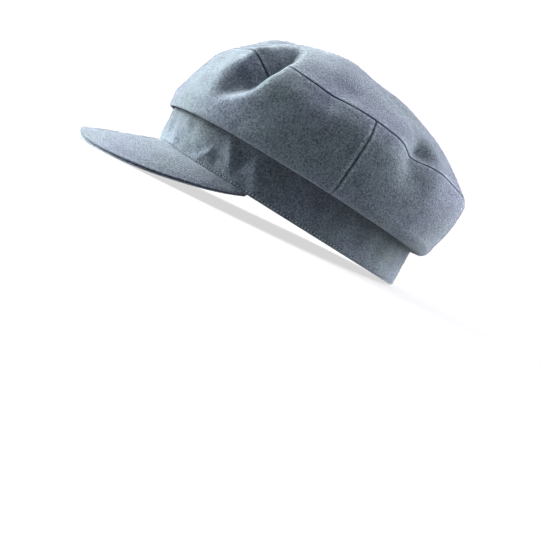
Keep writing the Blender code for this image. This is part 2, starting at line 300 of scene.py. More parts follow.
# The brim's cloth is painted lighter toward its edge at the sides, as painted light
BRIM_PAINTED_LIGHT = 0.12
BRIM_PAINTED_LIGHT_ANGLE = 25.0

# Colours of felt and thread, from dark to light, and the ramps that read them from the grain
CROWN_FELT = ((0.03, 0.04, 0.054), (0.153, 0.185, 0.223))
BAND_FELT = ((0.024, 0.032, 0.041), (0.12, 0.147, 0.175))
BRIM_FELT = ((0.03, 0.038, 0.055), (0.132, 0.157, 0.2))
FELT_RAMP = (0.39, 0.61)
FELT_TINTS = ((0.95, 1.0, 0.94), (1.0, 0.97, 1.06))
FELT_TINT_RAMP = (0.35, 0.65)
THREAD = ((0.14, 0.17, 0.2), (0.36, 0.41, 0.47))
THREAD_RAMP = (0.35, 0.65)

# Grain of felt and thread: noise of so many lumps a metre. shares: how much of one shows in the other.
Grain = namedtuple("Grain", "scale detail roughness")
CLUMPS = Grain(780.0, 2.0, 0.6)
FIBRES = Grain(1900.0, 1.0, 0.5)
PATCHES = Grain(90.0, 2.0, 0.5)
TINT_PATCHES = Grain(25.0, 2.0, 0.5)
THREAD_FIBRES = Grain(1500.0, 2.0, 0.5)
FIBRE_SHARE = 0.5
PATCH_SHARE = 0.12
FELT_BUMP = 1.0 * MM
FELT_BUMP_STRENGTH = 1.0
THREAD_BUMP = 0.2 * MM
THREAD_BUMP_STRENGTH = 0.4

# Surroundings: brightest beyond the cap, dim on the camera's side, and even to the eye
WORLD_TOWARDS = (-0.93, 0.27, 0.25)
WORLD_DARK = 0.03
WORLD_BRIGHT = 1.9
WORLD_DARK_FROM = -0.28
WORLD_BRIGHT_FROM = 0.7
WORLD_COLOUR = (1.0, 0.965, 1.05, 1.0)
WORLD_SEEN = 1.2

# Floor: its glow grows between two distances from the cap, and the dimmer glow near the cap is a painted soft
# shadow round it
FLOOR_SIZE = 30.0
FLOOR_COLOUR = (0.12, 0.12, 0.12, 1.0)
FLOOR_GLOW_COLOUR = (1.0, 1.0, 1.0, 1.0)
FLOOR_GLOW_NEAR_PAINTED_SHADOW = 0.66
FLOOR_GLOW_AWAY = 0.95
FLOOR_GLOW_FROM = 0.3
FLOOR_GLOW_TO = 1.5

# Soft round lights, in metres and watts, all aimed at one place
Light = namedtuple("Light", "name place size power colour")
LIGHTS = (
    Light("key", (-0.95, -1.88, 0.6), 1.4, 352.0, (0.95, 1.0, 0.95)),
    Light("rear", (-0.3, 1.93, 0.25), 1.8, 138.0, (1.0, 1.0, 1.0)),
    Light("overhead", (0.2, 0.9, 1.6), 1.4, 58.0, (1.0, 0.95, 1.05)),
)
LIGHT_TARGET = (0.0, 0.0, 0.06)

# Camera, in the cap's frame and degrees. turn: from the cap's front toward the wearer's left, the side that
# it looks at. fall: how steeply it looks down. roll: how far it leans on its own axis.
CAMERA_PLACE = (490.5 * MM, -104.3 * MM, 1.3 * MM)
CAMERA_TURN = 75.96
CAMERA_FALL = 4.62
CAMERA_ROLL = 32.03
CAMERA_LENS = 44.0
CAMERA_SENSOR = 36.0
CAMERA_CLIP = 10.0 * MM


def smooth(x):
    """Ease from 0 to 1."""
    x = np.clip(x, 0.0, 1.0)
    return x * x * (3.0 - 2.0 * x)


def unit(vector):
    return vector / np.linalg.norm(vector, axis=-1, keepdims=True)


def from_front(angle):
    """Degrees from the front, the same on both sides."""
    return np.abs((np.degrees(angle) + 180.0) % 360.0 - 180.0)


def ring_normal(angle):
    """Which way is out from the band's oval."""
    return unit(np.stack(np.broadcast_arrays(np.sin(angle) / BAND_HALF_WIDTH,
                                             -np.cos(angle) / BAND_HALF_LENGTH, 0.0), axis=-1))


def ring(angle, out=0.0, shift=0.0):
    """Point of the band's oval, moved out along its normal and shifted to the front."""
    normal_x = BAND_HALF_LENGTH * np.sin(angle)
    normal_y = -BAND_HALF_WIDTH * np.cos(angle)
    size = np.hypot(normal_x, normal_y)
    x = BAND_HALF_WIDTH * np.sin(angle) + out * normal_x / size
    y = -BAND_HALF_LENGTH * np.cos(angle) + out * normal_y / size - shift
    return x, y


def between(rows, name, place, last_slope=0.0):
    """A column of a table of sections, read smoothly at any angle in degrees."""
    keys = np.array([row.angle for row in rows], dtype=float)
    values = np.array([getattr(row, name) for row in rows])
    slopes = np.zeros_like(values)
    slopes[1:-1] = (values[2:] - values[:-2]) / (keys[2:] - keys[:-2])
    slopes[-1] = last_slope
    i = np.clip(np.searchsorted(keys, place, side="right") - 1, 0, len(keys) - 2)
    span = keys[i + 1] - keys[i]
    u = (place - keys[i]) / span
    rise = (1 + 2 * u) * (1 - u) ** 2 * values[i] + u * u * (3 - 2 * u) * values[i + 1]
    lean = u * (1 - u) ** 2 * slopes[i] + u * u * (u - 1) * slopes[i + 1]
    return rise + lean * span


def section_value(name, angle):
    """A column of the crown's sections round the head, the same on both sides."""
    return between(SECTIONS, name, from_front(angle))


def through(points, u):
    """Smooth curve through evenly timed points, u from 0 to 1."""
    before = 2 * points[0] - points[1]
    after = 2 * points[-1] - points[-2]
    spans = len(points) - 1
    table = np.stack([before] + list(points) + [after])
    place = np.clip(u, 0.0, 1.0) * spans
    i = np.minimum(place.astype(int), spans - 1)
    f = place - i
    rest = tuple(np.indices(i.shape))
    p0, p1, p2, p3 = (table[(i + k,) + rest] for k in range(4))
    straight = 2 * p1 + (p2 - p0) * f
    bend = (2 * p0 - 5 * p1 + 4 * p2 - p3) * f ** 2
    twist = (3 * p1 - p0 - 3 * p2 + p3) * f ** 3
    return 0.5 * (straight + bend + twist)


def crown_plain(angle, v):
    """The crown before its folds: v runs 0 to 1 up a side quarter, then 1 to 2 over the top."""
    up = np.clip(v, 0.0, 1.0)
    columns = {name: section_value(name, angle) * MM for name in Section._fields[1:-1]}

    # Hem over the band's top edge, then the lower corner: out, sagging, and round to the vertical
    turn = np.clip((up - HEM_PART) / (CORNER_PART - HEM_PART), 0.0, 1.0) * math.pi / 2
    hem_z = BAND_HEIGHT + GAP
    out = HEM_CLEARANCE + (columns["belly_out"] - HEM_CLEARANCE) * np.sin(turn)
    out = out - (HEM_CLEARANCE + HEM_TUCK) * (1 - np.clip(up / HEM_PART, 0.0, 1.0))
    z = hem_z + (columns["belly_z"] - hem_z) * (1 - np.cos(turn)) - columns["sag"] * np.sin(2 * turn)

    # Wall, shoulder and top seam
    names = ("belly", "wall", "shoulder", "seam")
    u = np.clip((up - CORNER_PART) / (1 - CORNER_PART), 0.0, 1.0)
    above = up > CORNER_PART
    out = np.where(above, through([columns[name + "_out"] for name in names], u), out)
    z = np.where(above, through([columns[name + "_z"] for name in names], u), z)
    x, y = ring(angle, out, BAND_LEAN)

    # Top panel: from its seam in to the apex
    r = 1.0 - np.clip(v - 1.0, 0.0, 1.0)
    apex_x, apex_y, apex_z = (value * MM for value in APEX)
    x = apex_x + (x - apex_x) * r
    y = apex_y + (y - apex_y) * r
    z = z + (apex_z - z) * (1 - r ** section_value("dome", angle))
    return np.stack([x, y, z], axis=-1)


def beside_fold(points, rows):
    """Where points lie beside a fold's crest: how far to its side, how much the fold still does there,
    which way is out and the fold's other columns."""
    steps = np.linspace(0.0, 1.0, FOLD_STEPS)
    columns = [np.broadcast_to(np.array(row) * MM, (FOLD_STEPS, len(row))) for row in rows]
    table = through(columns, np.broadcast_to(steps[:, None], (FOLD_STEPS, len(rows[0]))))
    crest = table[:, :3]
    along = np.gradient(crest, axis=0) * (FOLD_STEPS - 1)
    length = np.linalg.norm(along, axis=1)
    along = unit(along)
    facing = crest - np.array(FOLD_CENTRE) * MM
    facing = unit(facing - (facing * along).sum(axis=1, keepdims=True) * along)
    across = np.cross(facing, along)

    # Weights for the nearest stretch of the crest, spread wider further from it
    away = points[..., None, :] - crest
    square = (away ** 2).sum(axis=-1)
    nearest = square.min(axis=-1, keepdims=True)
    weight = np.exp((nearest - square) / (FOLD_BLEND ** 2 + FOLD_SPREAD * nearest))
    weight = weight / weight.sum(axis=-1, keepdims=True)
    side = (weight * (away * across).sum(axis=-1)).sum(axis=-1)
    place = (weight * (steps + (away * along).sum(axis=-1) / length)).sum(axis=-1)
    fade = smooth(place / FOLD_END) * smooth((1 - place) / FOLD_END)
    fade = fade * smooth((FOLD_LIMIT - np.sqrt(nearest[..., 0])) / (FOLD_LIMIT / 2))
    return side, fade, unit(weight @ facing), np.moveaxis(weight @ table[:, 3:], -1, 0)


def folded(points):
    """The points pushed in and out by every fold, except at the hem."""
    above_hem = smooth((points[..., 2] - BAND_HEIGHT) / FOLD_START)
    side, fade, outward, (depth, valley, far, lift, width) = beside_fold(points, FRONT_DENT)
    sink = smooth(side / valley) ** FOLD_ROUND * (1 - smooth((side - valley) / (far - valley)))
    push = above_hem * fade * (lift * np.exp(-(side / width) ** 2) - depth * sink)
    moved = points + push[..., None] * outward
    for rows in RIDGES.values():
        side, fade, outward, (lift, width) = beside_fold(points, rows)
        push = above_hem * fade * lift * np.exp(-(side / width) ** 2)
        moved = moved + push[..., None] * outward
    for hollow in HOLLOWS:
        away = points - np.array(hollow[:3]) * MM
        near = np.exp(-(away ** 2).sum(axis=-1) / (hollow.reach * MM) ** 2)
        inward = unit(np.array(FOLD_CENTRE) * MM - points)
        moved = moved + (above_hem * near * hollow.depth * MM)[..., None] * inward
    return moved


def crown(angle, v):
    """Outer face of the crown, column by column."""
    plain = crown_plain(angle, v)
    return np.stack([folded(column) for column in plain])


def seam_shape(distance):
    """How far the cloth stands off its smooth form at a distance from a seam."""
    d = np.clip(distance / SEAM_ROLL, 0.0, 1.0)
    roll = -SEAM_ROLL * (1 - np.sqrt(np.maximum(1 - (1 - d) ** 2, 0.0)))
    strip = SEAM_LIFT * smooth((SEAM_STRIP - distance) / SEAM_STRIP_EDGE)
    return roll + strip


def seam_painted_shade_and_specks(distance):
    """How light the cloth is at a distance from a seam: painted shade in the crease, a painted highlight on
    its lips, and pale specks along the turned edge.
    1 is as light as elsewhere."""
    crease = np.exp(-(distance / SEAM_CREASE) ** 2)
    lip = np.exp(-((distance - SEAM_LIP) / SEAM_LIP_WIDTH) ** 2)
    strip = np.exp(-((distance - SEAM_SPECKS) / SEAM_SPECKS_WIDTH) ** 2)
    specks = np.random.default_rng(SEAM_SPECKS_SEED).uniform(size=distance.shape) ** 4
    return 1.0 - SEAM_PAINTED_SHADE * crease + SEAM_PAINTED_HIGHLIGHT * lip + SEAM_SPECKS_LIGHTER * strip * specks


def steps_between_seams(length, step):
    """Places along a length in millimetres, close together beside the seams at both ends."""
    near = np.array(FINE_STEPS)
    count = max(int(round((length - 2 * near[-1]) / step)), 1)
    middle = np.linspace(near[-1], length - near[-1], count + 1)
    return np.concatenate([near[:-1], middle, (length - near[:-1])[::-1]]) / length


def steps_from_seam(length, step):
    """Places along a length in millimetres, close together beside the seam at its start."""
    near = np.array(FINE_STEPS)
    count = max(int(round((length - near[-1]) / step)), 1)
    return np.concatenate([near[:-1], np.linspace(near[-1], length, count + 1)]) / length


def new_material(name, roughness, specular):
    material = bpy.data.materials.new(name)
    material.use_nodes = True
    shader = material.node_tree.nodes["Principled BSDF"]
    shader.inputs["Roughness"].default_value = roughness
    shader.inputs["Specular IOR Level"].default_value = specular
    return material, material.node_tree, shader


def noise(tree, grain):
    """Noise over the cap's own space."""
    place = tree.nodes.new("ShaderNodeTexCoord")
    node = tree.nodes.new("ShaderNodeTexNoise")
    node.inputs["Scale"].default_value = grain.scale
    node.inputs["Detail"].default_value = grain.detail
    node.inputs["Roughness"].default_value = grain.roughness
    tree.links.new(place.outputs["Object"], node.inputs["Vector"])
    return node.outputs["Fac"]


def mixed(tree, share, one, other):
    """One value with a share of the other."""
    node = tree.nodes.new("ShaderNodeMix")
    node.data_type = "FLOAT"
    node.inputs["Factor"].default_value = share
    tree.links.new(one, node.inputs["A"])
    tree.links.new(other, node.inputs["B"])
    return node.outputs["Result"]


def ramp(tree, value, places, colours):
    """Colour that runs from the first to the second between two places of the value."""
    node = tree.nodes.new("ShaderNodeValToRGB")
    for element, place, colour in zip(node.color_ramp.elements, places, colours):
        element.position = place
        element.color = (*colour, 1.0)
    tree.links.new(value, node.inputs["Fac"])
    return node.outputs["Color"]


def eased(tree, value, places, results):
    """Value that eases from the first to the second result between two places of the value."""
    node = tree.nodes.new("ShaderNodeMapRange")
    node.interpolation_type = "SMOOTHSTEP"
    node.inputs["From Min"].default_value, node.inputs["From Max"].default_value = places
    node.inputs["To Min"].default_value, node.inputs["To Max"].default_value = results
    tree.links.new(value, node.inputs["Value"])
    return node.outputs["Result"]


def bumped(tree, shader, height, strength, distance):
    """Fine relief of the shader's surface."""
    node = tree.nodes.new("ShaderNodeBump")
    node.inputs["Strength"].default_value = strength
    node.inputs["Distance"].default_value = distance
    tree.links.new(height, node.inputs["Height"])
    tree.links.new(node.outputs["Normal"], shader.inputs["Normal"])


def material_felt(name, colours):
    """Fulled wool felt: heathered fibres in faintly tinted patches, as light as each point's tone says."""
    material, tree, shader = new_material(name, roughness=0.95, specular=0.15)
    shader.inputs["Sheen Weight"].default_value = 0.35
    shader.inputs["Sheen Roughness"].default_value = 0.4
    shader.inputs["Sheen Tint"].default_value = (0.85, 0.93, 1.0, 1.0)

    grain = mixed(tree, FIBRE_SHARE, noise(tree, CLUMPS), noise(tree, FIBRES))
    shade = mixed(tree, PATCH_SHARE, grain, noise(tree, PATCHES))
    tinted = tree.nodes.new("ShaderNodeVectorMath")
    tinted.operation = "MULTIPLY"
    tree.links.new(ramp(tree, shade, FELT_RAMP, colours), tinted.inputs[0])
    tree.links.new(ramp(tree, noise(tree, TINT_PATCHES), FELT_TINT_RAMP, FELT_TINTS), tinted.inputs[1])
    tone = tree.nodes.new("ShaderNodeAttribute")
    tone.attribute_name = "tone"
    toned = tree.nodes.new("ShaderNodeVectorMath")
    toned.operation = "SCALE"
    tree.links.new(tinted.outputs["Vector"], toned.inputs[0])
    tree.links.new(tone.outputs["Fac"], toned.inputs["Scale"])
    tree.links.new(toned.outputs["Vector"], shader.inputs["Base Color"])
    bumped(tree, shader, grain, FELT_BUMP_STRENGTH, FELT_BUMP)
    return material


def material_thread():
    """Pale cotton sewing thread, twisted and a little shiny."""
    material, tree, shader = new_material("thread", roughness=0.7, specular=0.3)
    fibres = noise(tree, THREAD_FIBRES)
    tree.links.new(ramp(tree, fibres, THREAD_RAMP, THREAD), shader.inputs["Base Color"])
    bumped(tree, shader, fibres, THREAD_BUMP_STRENGTH, THREAD_BUMP)
    return material


def loft(name, loops, closed, material, tone):
    """One closed body through loops of points, joined end to end where closed, capped if not.

    The first half of a loop is its outer face and the second half is the inner face, back again.
    """
    columns, rows = loops.shape[:2]
    index = np.arange(columns * rows).reshape(columns, rows)
    this = index if closed else index[:-1]
    following = np.roll(index, -1, axis=0) if closed else index[1:]
    quads = np.stack([this, np.roll(this, -1, axis=1), np.roll(following, -1, axis=1), following], axis=-1)
    faces = quads.reshape(-1, 4)
    if not closed:
        for loop in (index[0], index[-1]):
            out, back = loop[:rows // 2], loop[:rows // 2 - 1:-1]
            faces = np.concatenate([faces, np.stack([out[:-1], out[1:], back[1:], back[:-1]], axis=-1)])
    return solid(name, loops.reshape(-1, 3), faces, material, tone)


def solid(name, points, faces, material, tone=None):
    """A closed body in the cap's frame, set down as the cap rests. tone: how light each point's cloth is."""
    mesh = bpy.data.meshes.new(name)
    mesh.from_pydata(points.tolist(), [], faces.tolist())
    tones = np.ones(len(points)) if tone is None else tone.ravel()
    mesh.attributes.new("tone", "FLOAT", "POINT").data.foreach_set("value", tones.astype(np.float32))
    bm = bmesh.new()
    bm.from_mesh(mesh)
    bmesh.ops.remove_doubles(bm, verts=bm.verts, dist=MERGE_DISTANCE)
    bmesh.ops.recalc_face_normals(bm, faces=bm.faces)
    bm.to_mesh(mesh)
    bm.free()
    mesh.transform(resting_pose)
    mesh.shade_smooth()
    mesh.materials.append(material)
    piece = bpy.data.objects.new(name, mesh)
    bpy.context.scene.collection.objects.link(piece)
    return piece


def waves(points, size, seed):
    """Soft unevenness of about that size, from waves in all directions."""
    random = np.random.default_rng(seed)
    directions = unit(random.normal(size=(WAVE_COUNT, 3)))
    phases = random.uniform(0.0, 2 * math.pi, WAVE_COUNT)
    stretch = random.uniform(*WAVE_STRETCH, WAVE_COUNT)
    total = np.zeros(points.shape[:-1])
    for direction, phase, factor in zip(directions, phases, stretch):
        total += np.sin(points @ direction * (2 * math.pi * factor / size) + phase)
    return total * math.sqrt(2.0 / WAVE_COUNT)


def length_along(points, axis):
    """Distance along the cloth from the first row or column of a grid."""
    steps = np.linalg.norm(np.diff(points, axis=axis), axis=-1)
    start = np.zeros_like(np.take(steps, [0], axis=axis))
    return np.concatenate([start, np.cumsum(steps, axis=axis)], axis=axis)


def make_nap(name, face, tone, felt):
    """Loose fibres over a face of cloth, each a thin closed spike. tone: how light the face's points are."""
    random = np.random.default_rng(len(name))
    across = face[1:, :-1] - face[:-1, :-1]
    climb = face[:-1, 1:] - face[:-1, :-1]
    outward = np.cross(across, climb)
    area = np.linalg.norm(outward, axis=-1)
    count = int(area.sum() * SQUARE_CM_IN_SQUARE_M * NAP_DENSITY)
    cell = np.unravel_index(random.choice(area.size, count, p=(area / area.sum()).ravel()), area.shape)
    share = random.uniform(size=(2, count, 1))
    base = face[:-1, :-1][cell] + share[0] * across[cell] + share[1] * climb[cell]
    outward = unit(outward[cell])
    sideways = unit(across[cell])
    turn = random.uniform(0.0, 2 * math.pi, (count, 1))
    rise = np.radians(random.uniform(*NAP_LEAN, (count, 1)))
    flat = np.cos(turn) * sideways + np.sin(turn) * np.cross(outward, sideways)
    along = np.cos(rise) * flat + np.sin(rise) * outward
    first = unit(np.cross(along, outward))
    second = np.cross(along, first)
    corners = [base + NAP_THICKNESS / 2 * (math.cos(t) * first + math.sin(t) * second)
               for t in (0.0, 2 * math.pi / 3, 4 * math.pi / 3)]
    corners.append(base + along * NAP_LENGTH * random.uniform(*NAP_LENGTH_SPREAD, (count, 1)))
    index = 4 * np.arange(count)[:, None, None]
    faces = index + np.array([(0, 2, 1), (0, 1, 3), (1, 2, 3), (2, 0, 3)])
    tones = tone[:-1, :-1][cell] * random.uniform(*NAP_TONE, count)
    piece = solid(name, np.stack(corners, axis=1).reshape(-1, 3), faces.reshape(-1, 3), felt,
                  np.repeat(tones, 4))
    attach(piece, "root")


def crown_normal(angle, v, step):
    """Outward direction of the crown's cloth, judged over a step of v to either side. At the apex, where all
    columns meet, it is arbitrary but defined."""
    round_ = crown(angle + NORMAL_STEP, v) - crown(angle - NORMAL_STEP, v)
    near = np.minimum(v, 2.0 - 2 * step)
    up = crown(angle, near + step) - crown(angle, np.maximum(near - step, 0.0))
    return unit(np.cross(round_, up) + TINY)


def seam_distance(face, seams):
    """Distance along a face from the nearest of its sewn edges."""
    across = length_along(face, 0)
    climb = length_along(face, 1)
    distance = np.full(across.shape, SEAM_STRIP * 2)
    for seam, measured in (("first", across), ("last", across[-1] - across),
                           ("low", climb), ("high", climb[:, -1:] - climb)):
        if seam in seams:
            distance = np.minimum(distance, measured)
    return distance


def crown_faces(angles, rows, seams):
    """Outer and inner faces of a crown piece. seams names its edges that are sewn: first, last, low, high."""
    angle, v = np.meshgrid(angles, rows, indexing="ij")
    smooth_face = crown(angle, v)
    normal = crown_normal(angle, v, NORMAL_STEP)
    soft = smooth((v - CORNER_PART) / CORNER_PART) * smooth((2.0 - v) / CORNER_PART)
    inner_normal = crown_normal(angle, v, NORMAL_STEP + (INNER_NORMAL_STEP - NORMAL_STEP) * soft)
    ends_in_apex = rows[-1] == 2.0
    if ends_in_apex:
        normal[:, -1] = normal[:, -2].mean(axis=0)
        inner_normal[:, -1] = inner_normal[:, -2].mean(axis=0)

    distance = seam_distance(smooth_face, seams)
    above_hem = smooth((v - HEM_PART) / CORNER_PART)
    relief = seam_shape(distance) * above_hem
    relief = relief + above_hem * (BROAD_WAVE * waves(smooth_face, BROAD_WAVE_SIZE, BROAD_WAVE_SEED)
                                   + FINE_WAVE * waves(smooth_face, FINE_WAVE_SIZE, FINE_WAVE_SEED))

    wall = HEM_CLOTH + (CLOTH - HEM_CLOTH) * smooth(v / CORNER_PART - 0.5)
    inner = smooth_face - wall[..., None] * inner_normal

    # Outside, both sides of a seam stand back from it by half of its slit; inside, they meet
    if "first" in seams:
        smooth_face[0] += unit(smooth_face[1] - smooth_face[0]) * SEAM_SLIT / 2
        smooth_face[-1] += unit(smooth_face[-2] - smooth_face[-1]) * SEAM_SLIT / 2
    edge, beside = (0, 1) if "low" in seams else (-1, -2)
    smooth_face[:, edge] += unit(smooth_face[:, beside] - smooth_face[:, edge]) * SEAM_SLIT / 2

    outer = smooth_face + relief[..., None] * normal
    if ends_in_apex:
        outer[:, -1] = outer[:, -1].mean(axis=0)
        inner[:, -1] = inner[:, -1].mean(axis=0)
    # Painted shade in the seams' creases and painted highlights on their lips, with pale specks beside them
    tone = 1.0 + (seam_painted_shade_and_specks(distance) - 1.0) * above_hem
    return (np.concatenate([outer, inner[:, ::-1]], axis=1),
            np.concatenate([tone, np.ones_like(tone)], axis=1))


def make_crown():
    """Four side quarters and the top panel, whose columns go on from theirs."""
    seams = (0.0, SIDE_SEAM_ANGLE, math.pi, 2 * math.pi - SIDE_SEAM_ANGLE, 2 * math.pi)
    quarters = (
        ("quarter_front_left", seams[0], seams[1], DENT_STEP),
        ("quarter_back_left", seams[1], seams[2], PLAIN_STEP),
        ("quarter_back_right", seams[2], seams[3], PLAIN_STEP),
        ("quarter_front_right", seams[3], seams[4], PLAIN_STEP),
    )
    felt = material_felt("crown felt", CROWN_FELT)
    corner = np.linspace(0.0, CORNER_PART, CORNER_ROWS + 1)[:-1]
    wall = 1.0 - (1.0 - CORNER_PART) * steps_from_seam(WALL_LENGTH, DENT_STEP)[::-1]
    quarter_rows = np.concatenate([corner, wall])
    all_round = []
    for name, first, last, step in quarters:
        angles = first + (last - first) * steps_between_seams(QUARTER_LENGTH, step)
        all_round.append(angles[:-1])
        faces, tone = crown_faces(angles, quarter_rows, ("first", "last", "high"))
        piece = loft(name, faces, False, felt, tone)
        finish_piece(piece, name)
        outside = slice(QUARTER_BARE_ROWS, len(quarter_rows))
        make_nap(name + "_nap", faces[:, outside], tone[:, outside], felt)

    top_rows = 1.0 + steps_from_seam(TOP_LENGTH, PLAIN_STEP)
    faces, tone = crown_faces(np.concatenate(all_round), top_rows, ("low",))
    top = loft("crown_top", faces, True, felt, tone)
    finish_piece(top, "crown_top")
    around = np.append(np.arange(len(faces)), 0)
    make_nap("crown_top_nap", faces[around, :len(top_rows)], tone[around, :len(top_rows)], felt)


def puckered(angle, z):
    """How far the band's puckers push its outer face."""
    sideways = from_front(angle)
    millimetres = math.radians(1.0) * BAND_HALF_LENGTH / MM
    total = np.zeros(np.broadcast(angle, z).shape)
    for pucker in PUCKERS:
        above = z / MM - pucker.z
        beside = (sideways - pucker.angle) * millimetres - pucker.lean * above
        total += pucker.push * MM * np.exp(-(beside / pucker.width) ** 2 - (above / pucker.height) ** 2)
    return total


def stitch_run():
    """Angles round the band at the stitches' height, the length along it there, and the stitches' pitch."""
    around = np.linspace(0.0, 2 * math.pi, STITCH_RUN_STEPS)
    x, y = ring(around, 0.0, BAND_LEAN * STITCH_HEIGHT / BAND_HEIGHT)
    length = np.concatenate([[0.0], np.cumsum(np.hypot(np.diff(x), np.diff(y)))])
    return around, length, length[-1] / int(length[-1] / STITCH_PITCH)


def stitch_holes(angle, z):
    """1 where the thread goes into the cloth between two stitches, 0 away from there."""
    around, length, pitch = stitch_run()
    beyond = np.interp(angle, around, length) % pitch - (STITCH_LENGTH + pitch) / 2
    return np.exp(-(beyond / STITCH_HOLE) ** 2 - ((z - STITCH_HEIGHT) / STITCH_HOLE) ** 2)


def band_relief(points, angle, z):
    """How far the band's outer face stands off its plain oval."""
    return BAND_WAVE * waves(points, BAND_WAVE_SIZE, BAND_WAVE_SEED) + puckered(angle, z)


def band_outline(climb):
    """Section of the band, out from its oval and up: its outer face at these heights, round its top edge,
    down its inner face and round its lower edge."""
    radius = BAND_WALL / 2
    turn = np.linspace(0.0, math.pi, BAND_ROUND_ROWS)
    outline = [(0.0, z) for z in climb]
    outline += [(radius * (math.cos(t) - 1), BAND_HEIGHT - radius + radius * math.sin(t)) for t in turn[1:]]
    outline += [(-BAND_WALL, z) for z in np.linspace(BAND_HEIGHT - radius, radius, BAND_INNER_ROWS)[1:]]
    outline += [(-radius * (1 + math.cos(t)), radius - radius * math.sin(t)) for t in turn[1:-1]]
    return np.array(outline).T


def make_band():
    """A doubled wall of cloth with rounded edges, puckered, and sunk along its stitches."""
    felt = material_felt("band felt", BAND_FELT)
    columns = int(2 * math.pi * BAND_HALF_LENGTH / (BAND_STEP * MM))
    angles = np.linspace(0.0, 2 * math.pi, columns, endpoint=False)
    radius = BAND_WALL / 2
    stitch_rows = STITCH_HEIGHT + np.array(BAND_STITCH_ROWS) * MM
    climb = np.sort(np.concatenate([np.linspace(radius, BAND_HEIGHT - radius, BAND_ROWS), stitch_rows]))
    out, z = band_outline(climb)
    angle = angles[:, None]
    x, y = ring(angle, out, BAND_LEAN * z / BAND_HEIGHT)
    points = np.stack([x, y, np.broadcast_to(z, x.shape)], axis=-1)
    outside = smooth(1 + out / radius)
    relief = band_relief(points, angle, z)
    relief = relief - STITCH_DIP * np.exp(-((z - STITCH_HEIGHT) / STITCH_DIP_WIDTH) ** 2)
    clear_of_crown = smooth((BAND_HEIGHT - z) / BAND_CLEAR)
    points = points + (relief * outside * clear_of_crown)[..., None] * ring_normal(angle)
    # Painted light toward the band's lower edge and painted shade under the crown
    painted_tone = smooth(1 - z / BAND_HEIGHT) * (BAND_PAINTED_LIGHT_LOW - BAND_PAINTED_SHADE_HIGH) + BAND_PAINTED_SHADE_HIGH
    # Painted shade in the stitch holes
    painted_tone = painted_tone * (1 - STITCH_HOLE_PAINTED_SHADE * stitch_holes(angle, z))
    tone = np.broadcast_to(1 + (painted_tone - 1) * outside, x.shape)
    piece = loft("band", points, True, felt, tone)
    finish_piece(piece, "band")
    around = np.append(np.arange(columns), 0)
    outside = slice(BAND_BARE_ROWS, len(climb))
    make_nap("band_nap", points[around, outside], tone[around, outside], felt)


def make_stitches():
    """A row of short strands of thread round the band, each end drawn into the cloth."""
    thread = material_thread()
    around, length, pitch = stitch_run()
    start = np.arange(round(length[-1] / pitch))[:, None] * pitch
    along = np.linspace(-1.0, 1.0, STITCH_RINGS)
    angle = np.interp(start + STITCH_LENGTH * (1 + along) / 2, length, around)
    arch = np.sqrt(1 - along ** 2)
    x, y = ring(angle, 0.0, BAND_LEAN * STITCH_HEIGHT / BAND_HEIGHT)
    plain = np.stack([x, y, np.full(x.shape, STITCH_HEIGHT)], axis=-1)
    outward = ring_normal(angle)
    out = band_relief(plain, angle, STITCH_HEIGHT) - STITCH_DIP + STITCH_THICKNESS * (arch - 0.5)
    centre = plain + out[..., None] * outward
    turn = np.linspace(0.0, 2 * math.pi, STITCH_SIDES, endpoint=False)
    round_ = np.cos(turn)[:, None] * outward[:, :, None] + np.sin(turn)[:, None] * np.array([0.0, 0.0, 1.0])
    radius = STITCH_THICKNESS / 2 * arch[:, None, None]
    points = centre[:, :, None] + radius * round_
    index = np.arange(points[..., 0].size).reshape(points.shape[:3])
    beside = np.roll(index, -1, axis=2)
    quads = np.stack([index[:, :-1], beside[:, :-1], beside[:, 1:], index[:, 1:]], axis=-1)
    piece = solid("band_stitches", points.reshape(-1, 3), quads.reshape(-1, 4), thread)
    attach(piece, "root")


def brim_loop(turn, across, bends):
    """Section of the brim at an angle in degrees: its top from root to edge, its edge, and its underside.
    across: the rows' places along its length. bends: how far each of them droops."""
    angle = math.radians(turn)
    length = between(BRIM_SECTIONS, "length", abs(turn), BRIM_END_TAPER) * MM
    slope = math.radians(between(BRIM_SECTIONS, "slope", abs(turn)))
    ended = abs(turn / BRIM_SECTIONS[-1].angle) ** BRIM_END_THINNING
    thick = BRIM_THICKNESS + (BRIM_END_THICKNESS - BRIM_THICKNESS) * ended
    normal = ring_normal(angle)
    forward = unit(BRIM_SPREAD * normal + (1 - BRIM_SPREAD) * np.array([0.0, -1.0, 0.0]))
    x, y = ring(angle)
    root = np.array([x, y, BRIM_ROOT])
    down = np.array([0.0, 0.0, -1.0])
    out = forward * math.cos(slope) + down * math.sin(slope)
    droop = down * BRIM_DROOP * abs(math.cos(angle))
    top = [root - normal * BRIM_TUCK]
    top += [root + out * length * v + droop * bend for v, bend in zip(across, bends)]
    low = [point + down * thick for point in top]
    edge = [top[-1] + (out * point.push + down * point.drop) * thick for point in BRIM_EDGE]
    return top + edge + low[::-1]


